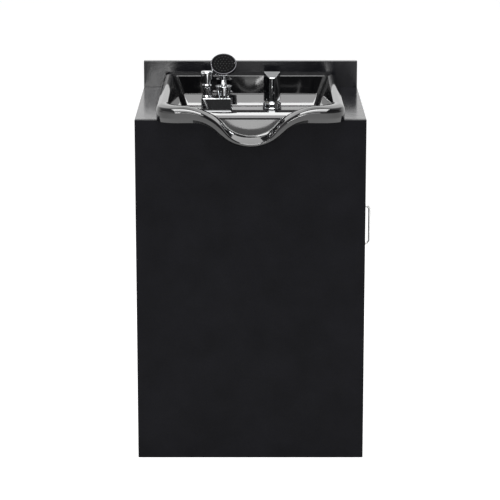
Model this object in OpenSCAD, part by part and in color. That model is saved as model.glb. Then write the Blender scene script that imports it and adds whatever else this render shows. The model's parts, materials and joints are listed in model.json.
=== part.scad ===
// Free-standing salon wash basin: a laminate cabinet with a side door, a moulded
// bowl with a neck rest set in its top, a single-lever mixer, a vacuum breaker
// and a hand spray that parks in a guide beside it.
// The origin is on the floor under the middle of the carcass. +Z is up, the user
// stands at -Y, and the door is on the +X side.

/* [Cabinet] */
// Width of the carcass
cab_w = 540; // [520:5:600]
// Depth of the carcass, backsplash included
cab_d = 504; // [504:2:540]
// Height of the counter top above the floor
cab_h = 824; // [760:2:860]
// Thickness of the laminate boards
board_t = 18; // [16:1:20]
// Thickness of the front panel
front_t = 16; // [14:1:18]
// Height of the backsplash above the counter
splash_h = 66; // [50:1:100]
// Height of the support rails under the counter
rail_h = 40; // [30:1:50]

/* [Side door] */
// Width of the fixed panel behind the door
stile_w = 109; // [80:1:140]
// Clearance round the door
door_gap = 2; // [1.5:0.5:3]
// Radius of the door's rounded front edge
door_edge_r = 3; // [2:0.5:4]
// Distance of the door's pivot behind the front panel
pivot_set = 14; // [13:0.5:18]
// Radius of the pivot pins
pivot_r = 4; // [3:0.5:5]

/* [Door handle] */
// Height of the handle's middle above the floor
handle_z = 498; // [300:1:700]
// Distance of the handle behind the front face
handle_y = 342; // [250:1:360]
// Distance between the handle's two feet
handle_span = 96; // [64:32:128]
// How far the handle stands out from the door
handle_out = 31; // [25:1:40]
// Radius of the handle's bar
handle_r = 3.2; // [2.5:0.1:6]

/* [Bowl] */
// Half width of the rim at its front
rim_front_w = 219; // [216:1:226]
// Half width of the rim at its back
rim_back_w = 217; // [214:1:222]
// How far the rim stands out in front of the cabinet
rim_out = 50; // [40:1:60]
// Distance of the rim's back edge behind the front face
rim_back_y = 484; // [480:1:485]
// Height of the rim above the counter
rim_h = 36; // [30:1:40]
// Wall thickness of the moulding
wall_t = 4; // [3:0.5:5]
// Radius of the neck dip
neck_r = 70.6; // [60:0.1:80]
// Height of the neck dip's centre above the counter
neck_z = 22; // [15:1:25]
// Radius of the shoulders beside the neck dip
shoulder_r = 125; // [110:1:140]
// Radius of the apron's lower edge under the neck dip
apron_r = 111; // [100:1:120]
// Height of the apron curve's centre above the counter
apron_z = 54; // [50:1:56]
// Radius of the apron's shoulders
apron_shoulder_r = 83; // [70:1:90]
// Depth of the deck that carries the fittings, below the counter
deck_drop = 41.5; // [38:0.5:45]
// Depth of the basin's floor below the counter
floor_drop = 177; // [165:1:185]
// Distance of the drain behind the front face
drain_y = 208; // [200:1:215]

/* [Drain] */
// Radius of the hole in the basin's floor
drain_hole_r = 22.5; // [22:0.1:24]
// Radius of the tailpiece
tail_r = 19.05; // [16:0.05:20]
// Length of the tailpiece
tail_l = 155; // [100:5:180]

/* [Mixer] */
// Distance of the mixer to the right of the middle
mixer_x = 54; // [45:1:60]
// Distance of the mixer behind the front face
mixer_y = 406; // [402:1:410]
// Radius of the mixer's base
mixer_r = 23; // [22:0.5:24]
// Width of the lever
lever_w = 41; // [38:1:44]
// Height of the lever's back edge above the counter
lever_top = 49; // [44:1:54]

/* [Vacuum breaker] */
// Distance of the breaker's column to the left of the middle
breaker_x = 109; // [105:1:112]
// Distance of both breaker shanks behind the front face
breaker_y = 400; // [398:1:404]
// Height of the breaker's block
block_h = 28; // [26:1:30]
// Radius of the breaker's cap
cap_r = 15; // [13:0.5:15.5]

/* [Hand spray] */
// Distance of the spray guide to the left of the middle
guide_x = 67; // [64:1:70]
// Radius of the spray head
head_r = 32.5; // [28:0.5:33]
// Thickness of the spray head
head_t = 20; // [16:1:22]
// Angle of the spray head's face from straight up
head_tilt = 44; // [30:1:50]

/* [Hidden] */
$fn = 64;

half_w = cab_w / 2;
half_d = cab_d / 2;
side_x = half_w - board_t;            // inner face of the side boards
back_y = cab_d - board_t;             // front of the back panel, from the front face
under_top = cab_h - board_t;          // underside of the counter
black = "#17171a";
gloss_black = "#0a0a0c";
chrome = "#d5d8dc";
steel = "#b8babd";
brass = "#c9a75a";
rubber = "#202020";
nylon = "#e8e6df";
copper = "#b87450";
pale_wood = "#c8b48c";

// Screws: radius and length of the shank, radius and height of the head
screw_r = 2;
screw_l = 30;
screw_head_r = 4;
screw_head_h = 2.5;
hole_play = 0.1;
screw_end_play = 0.5;                 // hole beyond the screw's tip
rail_screw_y = [60, 250, 440];        // screw stations along a rail, from the front
rear_screw_x = [-180, 0, 180];        // screw stations along the rear rail
screw_drop = 28;                      // rail screws below the counter's underside
screw_shift = 30;                     // counter screws stand behind the rail screws
screw_skin = 4;                       // counter left above a counter screw's tip

// Rails: the right one stands clear of the door's front edge as it swings
rail_gap = 5;
rail_left_x = -side_x + board_t / 2;  // middle of each side rail
rail_right_x = side_x - rail_gap - board_t / 2;
counter_screw_z = under_top - screw_l + board_t - screw_skin;

// Angle brackets
bracket_l = 22;
bracket_t = 2;
bracket_w = 18;
bracket_side_z = [120, 380, 620];
bracket_floor_x = [-160, 140];

// Door
door_front = front_t + 3.5;           // front edge, from the front face
door_back = cab_d - stile_w - 3;      // free edge, from the front face
door_low = board_t + door_gap;
door_high = under_top - door_gap;
pivot_x = half_w - 8;
pivot_y = front_t + pivot_set;
pivot_depth = 10;                     // pin length beyond the door's end
pin_hold = 20;                        // pin length inside the door
bush_r = 6.5;
bush_l = 12;
pin_play = 0.05;                      // radial running clearance
collar_w = 3;                         // spacer collar under the door, beyond the pin
collar_play = 0.2;

// Magnet catch under the right rail, and its plate on the door
catch_w = 24;
catch_h = 15;
catch_out = 18;                       // from the door's inner face to the catch's back
catch_gap = 1.8;
catch_slot = 6;
plate_t = 1.4;
plate_edge = 3;
catch_y = door_back - 30;
catch_z = under_top - rail_h;

// Handle
bend_r = 9;
foot_w = 1.6;                         // foot flange beyond the bar
foot_t = 2;
handle_screw_in = 10;                 // screw length inside the handle
handle_bore_in = 12;
handle_screw_play = 0.05;

// Back panel opening for the house pipes
pipe_gap_w = 220;
pipe_gap_h = 160;
pipe_gap_z = 150;

// Counter cut-out
cut_w = 192;
cut_front = 24;
cut_back = 464;
cut_r = 24;
notch_play = 2;

// Rim plan
rim_front_r = 50;
rim_back_r = 22;
inner_front = 5;
rim_edge = [[0, 9], [3, 4], [10, 0]]; // rounded top edge: depth and inset of each step
apron_back = -0.6;                    // the apron stands just clear of the front face
trough_w = 84;                        // half width of the neck trough's skin
trough_back = 67;                     // how far back the trough's skin and cut reach
hole_reach = 20;                      // how far a cutter passes each side of a wall
fitting_play = 0.5;                   // holes in the moulding, beyond the fitting

// Basin sections from the rim down: depth below the counter, half width, front,
// back, front corner radius, back corner radius
basin = [
    [-rim_h - 1, 194.4, inner_front - 0.7, 458, 60, 12],
    [13, 177, 41.5, 458, 52, 11],
    [deck_drop, 165.5, 62.6, 441, 46, 10],
    [deck_drop + 0.5, 165, 63, 379, 46, 20],
    [deck_drop + 4.5, 163.5, 66, 367, 46, 24],
    [deck_drop + 13.5, 160, 72.7, 361, 46, 28],
    [floor_drop - 27, 128, 143, 343, 55, 50],
    [floor_drop - 12, 112, 152, 326, 56, 52],
    [floor_drop - 5, 90, 159, 300, 58, 54],
    [floor_drop, 36, drain_y - 36, drain_y + 36, 36, 36]
];

// Drain stack, heights below the counter
flange_r = 32;
flange_h = 2.5;
spud_r = 22;
spud_bore = 19.4;
spud_l = 58;
gasket_h = 3;
gasket_top = -floor_drop - wall_t;
drain_nut_h = 12;
thread_play = 0.1;                    // radial room of a nut on its plain thread
tail_top = floor_drop + spud_l;
tail_wall = 1.3;
tail_flare = 0.4;                     // the tailpiece is a little wider inside its nut
tail_flare_l = 12;
tail_lip = 2.5;
slip_low = 10;                        // slip nut below and above the spud's end
slip_high = 12;
slip_wall = 4;
slip_step = 30;                       // angle between the nut's finger grooves
groove_r = 2;
groove_out = 5.2;

// Hair strainer: a lift-out cup with a rim that rests on the flange and a knob
strainer_r = 18.6;
strainer_h = 22;
strainer_wall = 1.2;
strainer_lip = 5;
strainer_lip_t = 1.25;
knob_r = 5;
knob_stem_r = 3;
knob_drop = 3;
strainer_hole_r = 2.8;
strainer_ring_r = 11.5;

// Mixer: ball centre and lever pivot, depth below the counter
ball_drop = 18;
ball_r = 18;
stem_w = 10;
stem_t = 8;
stem_pin_r = 2;
shank_r = 17;
shank_l = 58;
mixer_hole_r = 17.5;
mixer_top = -27;                      // top of the base's round wall
mixer_cham = [2.6, 3];                // chamfer above it: height and inset
cartridge_r = 17.5;
cartridge_low = -38;
cartridge_floor = -31;
socket_r = 17.6;
cap_stem_r = 14;
cap_low = -24.5;                      // lowest edge of the visible dome
cap_flat = 3;                         // flat on top of the dome
retain_low = -26.9;
retain_top = -24.7;
retain_bore = 14.4;
stem_pin_l = 24;
stem_top = 16;
stem_tail = 4;                        // stem below the ball's centre
slot_play = 0.6;
slot_front = -stem_t / 2 - slot_play;
slot_low = -26;
slot_back = 8;
slot_back_top = 17;
seal_w = 5.5;                         // gasket and washer beyond the shank
seal_play = 0.6;
mixer_seal_top = -deck_drop - wall_t - seal_play;
mixer_seal_h = 3;
mixer_washer_h = 1.6;
mixer_nut_h = 11.8;
tube_r = 4.76;
tube_bore = 3.8;
tube_sleeve = 0.3;                    // tubes are sleeved where they enter the shank
tube_fit = 0.05;
tube_in = 12;                         // tubes start this far below the deck
hot_at = [-7.5, -5];
cold_at = [7.5, -5];
mixed_at = [0, 8.5];
mixer_tubes = [hot_at, cold_at, mixed_at];
inlet_low = 230;                      // lower end of the inlet tubes, below the counter
outlet_low = 128;                     // lowest run of the mixed-water tube
outlet_bend = 14;                     // bend radius of the mixed-water tube

// Lever outline in plan: wide at the back, faceted to a blunt nose at the front
lever_back = 19;
lever_mid = -4;
lever_front = -21;
nose_w = 14;
nose_flat = 1.5;
lever_low = -21;
lever_pitch = 15;                     // slope of the lever's top
lever_under = 32;                     // slope of the cut under its back
lever_skirt = 13;
dome_play = 0.8;
set_screw_z = 8;
set_screw_r = 2.45;
set_screw_l = 9;
hex_r = 1.3;
hex_depth = 3;

// Vacuum breaker
block_x0 = -123;
block_x1 = -46;
block_y0 = 385;
block_y1 = 415;
block_r = 5;
block_edge = 1.5;
pad_h = 1;
block_low = -deck_drop + pad_h;
block_top = block_low + block_h;
inlet_r = 9.5;
guide_r = 13;
shank_drop = 88;
socket_in = 14;                       // mixed-water tube inside the breaker's inlet
tube_stop = block_low + 6;
seat_low = block_low + 8;             // floor of the float chamber
nut_top = -deck_drop - wall_t - 2.2;
washer_h = 1.6;
washer_w = 4;
nut_w = 5;
nut_h = 8;
bonnet_top = 42;
bonnet_line = [[13, block_top], [13, block_top + 3], [10, block_top + 6], [10, 13],
    [12.5, 15], [12.5, 19], [10.5, 22], [10.5, bonnet_top]];
chamber_r = 8;
bonnet_roof = 4;
vent_r = 5;
float_r = 7.4;
float_low = block_low + 9;
float_disc = 8;
float_stem_r = 3;
float_top = bonnet_top - 8.5;
float_cap = 3.5;
cap_top = 54;
cap_low_z = 34;
cap_round = 5;
cap_skin = 2.5;
cap_web = 2;
cap_hollow = 3;

// Hand spray
tail_or = 8.5;
guide_bore = 10;
guide_top = 17;
guide_foot_r = 15;
guide_foot_h = 6;
guide_mouth_r = 21.5;
guide_cone_r = 17;
guide_cone_h = 8;
scallop_r = 6.5;
scallop_out = 24;
scallop_up = 4;                       // scallops start above the block
bush_play = 0.05;
bush_up = 2;
tail_low = 118;
barb_l = 20;                          // hose spigot under the spray's shank
barb_in = 2;
tail_water_r = 4;
tail_drop = 3;                        // top of the shank below the guide's mouth
spigot_r = 5;
spigot_l = 27;
spigot_play = 1;
neck_r_low = 8.5;
neck_r_top = 6.5;
neck_cone_z = 3;
neck_cone_h = 12;
neck_bore = 3.5;
head_z = 60;                          // back of the head above the counter
head_back = -2.5;
head_line = [[11, head_back], [22, 1], [29, 6], [head_r - 1, 11], [head_r - 1, head_t - 5]];
head_cup = 9;                         // cup for the seal and the plate
head_wall = 4;
seal_in = 11;
seal_h = 1.5;
plate_lip = 5;                        // depth of the ring round the plate
plate_fit = 0.1;
plate_set = 0.8;                      // plate below the ring's front edge
jet_r = 0.9;
jet_pitch = 7.5;
jet_rings = 3;

module from_front() translate([0, -half_d, 0]) children();
module on_counter() translate([0, -half_d, cab_h]) children();
module at_drain() on_counter() translate([0, drain_y, 0]) children();
module at_mixer() on_counter() translate([mixer_x, mixer_y, 0]) children();
module at_breaker() on_counter() translate([-breaker_x, breaker_y, 0]) children();
module at_guide() on_counter() translate([-guide_x, breaker_y, 0]) children();
module at_head() at_guide() translate([0, 0, head_z]) rotate([head_tilt, 0, 0]) children();

// A box from one corner to the opposite one
module block(low, high) translate(low) cube(high - low);

// A cylinder that stands between two heights
module post(r, z0, z1) translate([0, 0, z0]) cylinder(h = z1 - z0, r = r);

// A ring that stands between two heights
module ring(r_out, r_in, z0, z1) difference() {
    post(r_out, z0, z1);
    post(r_in, z0 - 1, z1 + 1);
}

// A hexagon nut, given half its width across flats
module hex_nut(flat_r, bore_r, z0, z1) difference() {
    translate([0, 0, z0]) cylinder(h = z1 - z0, r = flat_r / cos(30), $fn = 6);
    post(bore_r, z0 - 1, z1 + 1);
}

// A pan-head screw: the head hangs below the origin and the shank points up
module screw() {
    translate([0, 0, -screw_head_h]) cylinder(h = screw_head_h, r = screw_head_r);
    cylinder(h = screw_l, r = screw_r);
}
module screw_hole() post(screw_r + hole_play, -1, screw_l + screw_end_play);

function arc(cx, cy, r, a0, a1, n = 8) =
    [for (i = [0 : n]) let (a = a0 + (a1 - a0) * i / n) [cx + r * cos(a), cy + r * sin(a)]];

// A rectangle with round corners, its front and back of different widths
function plan(wf, wb, y0, y1, rf, rb) = concat(
    arc(wf - rf, y0 + rf, rf, -90, 0), arc(wb - rb, y1 - rb, rb, 0, 90),
    arc(rb - wb, y1 - rb, rb, 90, 180), arc(rf - wf, y0 + rf, rf, 180, 270));

// A curve that dips in a circle at the middle and rises over round shoulders
function dip(x, r, zc, rs, top) =
    let (reach = sqrt(pow(r + rs, 2) - pow(zc - top + rs, 2)), meet = reach * r / (r + rs),
        ax = abs(x))
    ax <= meet ? zc - sqrt(r * r - x * x)
    : ax < reach ? top - rs + sqrt(rs * rs - pow(reach - ax, 2)) : top;
function crest(x, off = 0) = dip(x, neck_r + off, neck_z, shoulder_r - off, rim_h - off);
function apron(x) = dip(x, apron_r, apron_z, apron_shoulder_r, 0);
function across(w, n = 60) = [for (i = [0 : n]) -w + 2 * w * i / n];

// Extrudes a front-view outline along Y
module along_y(y0, y1) translate([0, y1, 0]) rotate([90, 0, 0]) linear_extrude(y1 - y0)
    children();

// Everything above the crest line, lowered by off
module above_crest(off, y0, y1) along_y(y0, y1) polygon(concat(
    [for (x = across(190)) [x, crest(x, off)]], [[190, 90], [-190, 90]]));

// Everything below the crest line, lowered by off
module below_crest(off, y0, y1) along_y(y0, y1) polygon(concat(
    [for (x = across(230)) [x, crest(x, off)]], [[230, -90], [-230, -90]]));

// A solid through a list of level outlines, each [height, points], from the top down
module loft(sections) {
    n = len(sections[0][1]);
    m = len(sections);
    pts = [for (s = sections) for (p = s[1]) [p[0], p[1], s[0]]];
    sides = [for (k = [0 : m - 2]) for (i = [0 : n - 1])
        let (a = k * n + i, b = k * n + (i + 1) % n) each [[a, b, b + n], [a, b + n, a + n]]];
    top = [for (i = [0 : n - 1]) n - 1 - i];
    low = [for (i = [0 : n - 1]) (m - 1) * n + i];
    polyhedron(points = pts, faces = concat([top], sides, [low]));
}

// The basin's space, or with a wall thickness its outside
module basin_space(grow) loft([for (s = basin)
    [-s[0] - (s[0] < 0 ? (grow > 0 ? 1.5 : 0) : grow),
     plan(s[1] + grow, s[1] + grow, s[2] - grow, s[3] + grow, s[4] + grow, s[5] + grow)]]);

function rim_plan(inset) = plan(rim_front_w - inset, rim_back_w - inset, -rim_out + inset,
    rim_back_y - inset, rim_front_r - inset, rim_back_r - inset);

module rim_block(inset, low) loft(concat(
    [for (e = rim_edge) [rim_h - e[0] - inset, rim_plan(inset + e[1])]],
    [[low, rim_plan(inset)]]));

module front_panel() color(black) from_front() difference() {
    block([-half_w, 0, 0], [half_w, front_t, cab_h]);
    translate([0, 0, cab_h]) above_crest(wall_t + notch_play, -1, front_t + 1);
}

module left_panel() color(black) from_front() difference() {
    block([-half_w, front_t, 0], [-side_x, cab_d, under_top]);
    for (y = rail_screw_y) translate([-side_x + board_t, y, under_top - screw_drop])
        rotate([0, -90, 0]) screw_hole();
}

module right_stile() color(black) from_front()
    block([side_x, cab_d - stile_w, board_t], [half_w, cab_d, under_top]);

module back_panel() color(black) from_front() difference() {
    block([-side_x, back_y, board_t], [side_x, cab_d, under_top]);
    block([-pipe_gap_w / 2, back_y - 1, pipe_gap_z],
        [pipe_gap_w / 2, cab_d + 1, pipe_gap_z + pipe_gap_h]);
    for (x = rear_screw_x) translate([x, back_y - board_t, under_top - screw_drop])
        rotate([-90, 0, 0]) screw_hole();
}

module bottom_panel() color(black) from_front() difference() {
    block([-side_x, front_t, 0], [half_w, cab_d, board_t]);
    translate([pivot_x, pivot_y, board_t - bush_l]) cylinder(h = bush_l + 1, r = bush_r);
}

module countertop() color(black) from_front() difference() {
    block([-half_w, front_t, under_top], [half_w, cab_d, cab_h]);
    translate([0, 0, under_top - 1]) linear_extrude(board_t + 2)
        polygon(plan(cut_w, cut_w, cut_front, cut_back, cut_r, cut_r));
    translate([0, 0, cab_h]) above_crest(wall_t + notch_play, front_t - 1, cut_front + 6);
    translate([pivot_x, pivot_y, under_top - 1]) cylinder(h = bush_l + 1, r = bush_r);
    for (x = [rail_left_x, rail_right_x], y = rail_screw_y)
        translate([x, y + screw_shift, counter_screw_z]) screw_hole();
}

module backsplash() color(black) from_front()
    block([-half_w, back_y, cab_h], [half_w, cab_d, cab_h + splash_h]);

module side_rail(x) difference() {
    block([x - board_t / 2, front_t, under_top - rail_h],
        [x + board_t / 2, back_y, under_top]);
    for (y = rail_screw_y) translate([x, y + screw_shift, 0]) {
        translate([0, 0, counter_screw_z]) screw_hole();
        post(screw_head_r + screw_end_play, under_top - rail_h - 1, counter_screw_z);
    }
}

module left_rail() color(pale_wood) from_front() difference() {
    side_rail(rail_left_x);
    for (y = rail_screw_y) translate([-side_x + board_t, y, under_top - screw_drop])
        rotate([0, -90, 0]) screw_hole();
}

module right_rail() color(pale_wood) from_front() side_rail(rail_right_x);

module rear_rail() color(pale_wood) from_front() difference() {
    block([-side_x + board_t, back_y - board_t, under_top - rail_h],
        [rail_right_x - board_t / 2, back_y, under_top]);
    for (x = rear_screw_x) translate([x, back_y - board_t, under_top - screw_drop])
        rotate([-90, 0, 0]) screw_hole();
}

module rail_screws() color(steel) from_front() {
    for (y = rail_screw_y) translate([-side_x + board_t, y, under_top - screw_drop])
        rotate([0, -90, 0]) screw();
    for (x = rear_screw_x) translate([x, back_y - board_t, under_top - screw_drop])
        rotate([-90, 0, 0]) screw();
}

module counter_screws() color(steel) from_front()
    for (x = [rail_left_x, rail_right_x], y = rail_screw_y)
        translate([x, y + screw_shift, counter_screw_z]) screw();

// Angle brackets that hold the front and back panels to the left side and the bottom
module bracket() {
    cube([bracket_l, bracket_t, bracket_w]);
    cube([bracket_t, bracket_l, bracket_w]);
}
module corner_brackets() color(steel) from_front() {
    for (z = bracket_side_z) {
        translate([-side_x, front_t, z]) bracket();
        translate([-side_x, back_y, z]) mirror([0, 1, 0]) bracket();
    }
    for (x = bracket_floor_x) translate([x, front_t, board_t]) rotate([90, 0, 90]) bracket();
}

module pivot_bushes() color(nylon) from_front() {
    translate([pivot_x, pivot_y, 0]) ring(bush_r, pivot_r + pin_play, board_t - bush_l, board_t);
    translate([pivot_x, pivot_y, 0])
        ring(bush_r, pivot_r + pin_play, under_top, under_top + bush_l);
}

module magnet_catch() color(rubber) from_front() difference() {
    block([side_x - catch_out, catch_y, catch_z - catch_h],
        [side_x - catch_gap, catch_y + catch_w, catch_z]);
    block([side_x - catch_out - 1, catch_y + catch_slot, catch_z - catch_h + plate_edge],
        [side_x - catch_out + catch_slot, catch_y + catch_w - catch_slot,
            catch_z - plate_edge]);
}

module strike_plate() color(steel) from_front()
    block([side_x - plate_t, catch_y - plate_edge, catch_z - catch_h - plate_edge],
        [side_x, catch_y + catch_w + plate_edge, catch_z + plate_edge]);

module side_door() color(black) from_front() difference() {
    translate([0, 0, door_low]) linear_extrude(door_high - door_low) {
        for (x = [side_x + door_edge_r, half_w - door_edge_r])
            translate([x, door_front + door_edge_r]) circle(door_edge_r);
        translate([side_x + door_edge_r, door_front])
            square([board_t - 2 * door_edge_r, door_edge_r]);
        translate([side_x, door_front + door_edge_r])
            square([board_t, door_back - door_front - door_edge_r]);
    }
    for (z = [door_low - 1, door_high - pin_hold])
        translate([pivot_x, pivot_y, z]) cylinder(h = pin_hold + 1, r = pivot_r);
    for (s = [-1, 1]) translate([side_x - 1, handle_y, handle_z + s * handle_span / 2])
        rotate([0, 90, 0]) cylinder(h = board_t + 2, r = screw_r + hole_play);
}

module pivot_pins() color(steel) from_front() translate([pivot_x, pivot_y, 0]) {
    post(pivot_r, board_t - pivot_depth + 1, door_low + pin_hold - 1);
    ring(pivot_r + collar_w, pivot_r - 1, board_t + collar_play, door_low);
    post(pivot_r, door_high - pin_hold, under_top + pivot_depth - 1);
}

// The bow handle: two feet, two bends and the grip, all of one round bar
module door_handle() color(chrome) from_front()
    translate([half_w, handle_y, handle_z]) difference() {
        union() {
            translate([handle_out - handle_r, 0, 0])
                post(handle_r, -handle_span / 2 + bend_r, handle_span / 2 - bend_r);
            for (s = [-1, 1]) {
                translate([0, 0, s * handle_span / 2]) rotate([0, 90, 0]) {
                    post(handle_r, 0, handle_out - handle_r - bend_r);
                    post(handle_r + foot_w, 0, foot_t);
                }
                translate([handle_out - handle_r - bend_r, 0, s * (handle_span / 2 - bend_r)])
                    rotate([90, s > 0 ? 0 : 90, 0])
                        rotate_extrude(angle = 90) translate([bend_r, 0]) circle(handle_r);
            }
        }
        for (s = [-1, 1]) translate([0, 0, s * handle_span / 2]) rotate([0, 90, 0])
            post(screw_r + handle_screw_play, -1, handle_bore_in);
    }

module handle_screws() color(steel) from_front()
    for (s = [-1, 1]) translate([side_x, handle_y, handle_z + s * handle_span / 2])
        rotate([0, 90, 0]) {
            post(screw_r, 0, board_t + handle_screw_in);
            post(screw_head_r, -screw_head_h, 0);
        }

// The moulding is a thin shell: the rim is hollow underneath, the apron is one skin
module apron_skin() intersection() {
    along_y(-rim_out, apron_back) polygon(concat(
        [for (x = across(180)) [x, apron(x)]], [[180, 1], [-180, 1]]));
    translate([0, 0, -90]) linear_extrude(100) polygon(rim_plan(0));
}

module trough_skin() along_y(-rim_out + 1, trough_back) polygon(concat(
    [for (x = across(trough_w)) [x, crest(x)]],
    [for (x = across(trough_w)) [-x, crest(-x, wall_t)]]));

// A hole through the moulding at a place on it and a depth
module moulding_hole(x, y, depth, r)
    translate([x, y, 0]) post(r, -depth - hole_reach, -depth + hole_reach);

module bowl() color(gloss_black) on_counter() difference() {
    union() {
        difference() {
            union() {
                rim_block(0, 0);
                apron_skin();
            }
            intersection() {
                rim_block(wall_t, -90);
                below_crest(wall_t, -rim_out - 1, rim_back_y + 1);
            }
        }
        trough_skin();
        basin_space(wall_t);
    }
    basin_space(0);
    above_crest(0, -rim_out - 5, trough_back + 0.5);
    moulding_hole(0, drain_y, floor_drop, drain_hole_r);
    moulding_hole(mixer_x, mixer_y, deck_drop, mixer_hole_r);
    moulding_hole(-breaker_x, breaker_y, deck_drop, inlet_r + fitting_play);
    moulding_hole(-guide_x, breaker_y, deck_drop, guide_r + fitting_play);
}

module drain_flange() color(chrome) at_drain() difference() {
    union() {
        translate([0, 0, -floor_drop]) cylinder(h = flange_h, r1 = flange_r, r2 = flange_r - 2);
        post(spud_r, -tail_top, -floor_drop);
    }
    post(spud_bore, -tail_top - 1, -floor_drop + flange_h + 1);
}

module drain_gasket() color(rubber) at_drain()
    ring(flange_r + 1, spud_r + thread_play, gasket_top - gasket_h, gasket_top);

module drain_nut() color(brass) at_drain()
    hex_nut(flange_r - 1, spud_r + thread_play, gasket_top - gasket_h - drain_nut_h,
        gasket_top - gasket_h);

module tailpiece() color(chrome) at_drain() difference() {
    union() {
        post(tail_r, -tail_top - tail_l, -tail_top);
        post(tail_r + tail_flare, -tail_top - tail_flare_l, -tail_top);
        post(spud_r, -tail_top - tail_lip, -tail_top);
    }
    post(tail_r - tail_wall, -tail_top - tail_l - 1, -tail_top + 1);
}

module slip_nut() color(chrome) at_drain() translate([0, 0, -tail_top]) difference() {
    post(spud_r + slip_wall, -slip_low, slip_high);
    post(spud_r + thread_play, -tail_lip - thread_play, slip_high + 1);
    post(tail_r + tail_flare + thread_play, -slip_low - 1, 0);
    for (a = [0 : slip_step : 359]) rotate(a) translate([spud_r + groove_out, 0, 0])
        post(groove_r, -slip_low - 1, slip_high + 1);
}

module hair_strainer() color(steel) at_drain() translate([0, 0, -floor_drop]) difference() {
    union() {
        difference() {
            union() {
                post(strainer_r, -strainer_h, flange_h + strainer_lip_t);
                post(strainer_r + strainer_lip, flange_h + pin_play, flange_h + strainer_lip_t);
            }
            post(strainer_r - strainer_wall, -strainer_h + strainer_wall, flange_h + 2);
        }
        post(knob_stem_r, -strainer_h + 1, -knob_drop);
        translate([0, 0, -knob_drop]) sphere(knob_r);
    }
    for (a = [0 : 60 : 300]) rotate(a) translate([strainer_ring_r, 0, 0])
        post(strainer_hole_r, -strainer_h - 1, -strainer_h + 2);
}

module mixer_base() color(chrome) at_mixer() difference() {
    union() {
        post(mixer_r, -deck_drop, mixer_top);
        translate([0, 0, mixer_top])
            cylinder(h = mixer_cham[0], r1 = mixer_r, r2 = mixer_r - mixer_cham[1]);
        post(shank_r, -deck_drop - shank_l, -deck_drop);
    }
    post(socket_r, cartridge_low, mixer_top + 7);
    for (p = mixer_tubes) translate([p[0], p[1], 0])
        post(tube_r + tube_sleeve + tube_fit, -deck_drop - shank_l - 1, cartridge_low - 1);
    for (p = mixer_tubes) translate([p[0], p[1], 0])
        post(tube_bore, cartridge_low - 2, cartridge_low + 1);
}

module mixer_gasket() color(rubber) at_mixer() ring(shank_r + seal_w, shank_r + thread_play,
    mixer_seal_top - mixer_seal_h, mixer_seal_top);

module mixer_washer() color(steel) at_mixer() ring(shank_r + seal_w, shank_r + thread_play,
    mixer_seal_top - mixer_seal_h - mixer_washer_h, mixer_seal_top - mixer_seal_h);

module mixer_nut() color(brass) at_mixer() hex_nut(mixer_r, shank_r + thread_play,
    mixer_seal_top - mixer_seal_h - mixer_washer_h - mixer_nut_h,
    mixer_seal_top - mixer_seal_h - mixer_washer_h);

module mixer_cartridge() color(nylon) at_mixer() difference() {
    post(cartridge_r, cartridge_low, mixer_top);
    post(cap_stem_r + pin_play, cartridge_floor, mixer_top + 1);
    for (p = mixer_tubes) translate([p[0], p[1], 0])
        post(tube_bore, cartridge_low - 1, cartridge_low + 4);
}

module cartridge_nut() color(brass) at_mixer()
    ring(socket_r - 0.2, retain_bore, retain_low, retain_top);

// The dome that turns in the cartridge, slotted for the stem to tilt
module cartridge_cap() color(chrome) at_mixer() difference() {
    union() {
        intersection() {
            translate([0, 0, -ball_drop]) sphere(ball_r);
            post(ball_r + 1, cap_low, -ball_drop + ball_r - cap_flat);
        }
        post(cap_stem_r, cartridge_floor, cap_low + 0.5);
    }
    translate([stem_w / 2 + 0.2, 0, 0]) rotate([0, -90, 0]) linear_extrude(stem_w + 0.4)
        polygon([[slot_low, -slot_back], [slot_low, slot_back], [-ball_drop, slot_back],
            [2, slot_back_top], [2, slot_front], [-ball_drop, slot_front]]);
    translate([0, 0, -ball_drop]) rotate([0, 90, 0])
        post(stem_pin_r, -cap_stem_r, cap_stem_r);
}

module stem_pin() color(steel) at_mixer() translate([0, 0, -ball_drop]) rotate([0, 90, 0])
    post(stem_pin_r, -stem_pin_l / 2, stem_pin_l / 2);

module mixer_stem() color(steel) at_mixer() difference() {
    block([-stem_w / 2, -stem_t / 2, -ball_drop - stem_tail],
        [stem_w / 2, stem_t / 2, stem_top]);
    translate([0, 0, -ball_drop]) rotate([0, 90, 0])
        post(stem_pin_r + pin_play, -stem_w, stem_w);
}

function lever_side(s) = [[s * lever_w / 2, lever_back], [s * lever_w / 2, lever_mid],
    [s * nose_w / 2, lever_front + nose_flat]];
module mixer_lever() color(chrome) at_mixer() difference() {
    translate([0, 0, lever_low]) linear_extrude(lever_top - lever_low)
        polygon(concat(lever_side(-1), [[0, lever_front]],
            [for (i = [2 : -1 : 0]) lever_side(1)[i]]));
    translate([-lever_w, lever_back, lever_top]) rotate([lever_pitch, 0, 0])
        block([0, -80, 0], [2 * lever_w, 10, 40]);
    translate([0, 0, -ball_drop]) sphere(ball_r + dome_play);
    post(ball_r - 0.5, -40, -ball_drop);
    translate([-lever_w, 0, lever_low - 20]) rotate([lever_under, 0, 0])
        block([0, 0, -lever_skirt], [2 * lever_w, 60, 30 - lever_skirt]);
    block([-stem_w / 2 - pin_play, -stem_t / 2 - pin_play, -10],
        [stem_w / 2 + pin_play, stem_t / 2 + pin_play, stem_top + 0.1]);
    translate([0, stem_t / 2, set_screw_z]) rotate([-90, 0, 0])
        post(set_screw_r + pin_play, 0, 30);
}

module lever_screw() color(steel) at_mixer() translate([0, stem_t / 2, set_screw_z])
    rotate([-90, 0, 0]) difference() {
        post(set_screw_r, 0, set_screw_l);
        translate([0, 0, set_screw_l - hex_depth])
            cylinder(h = hex_depth + 1, r = hex_r, $fn = 6);
    }

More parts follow.
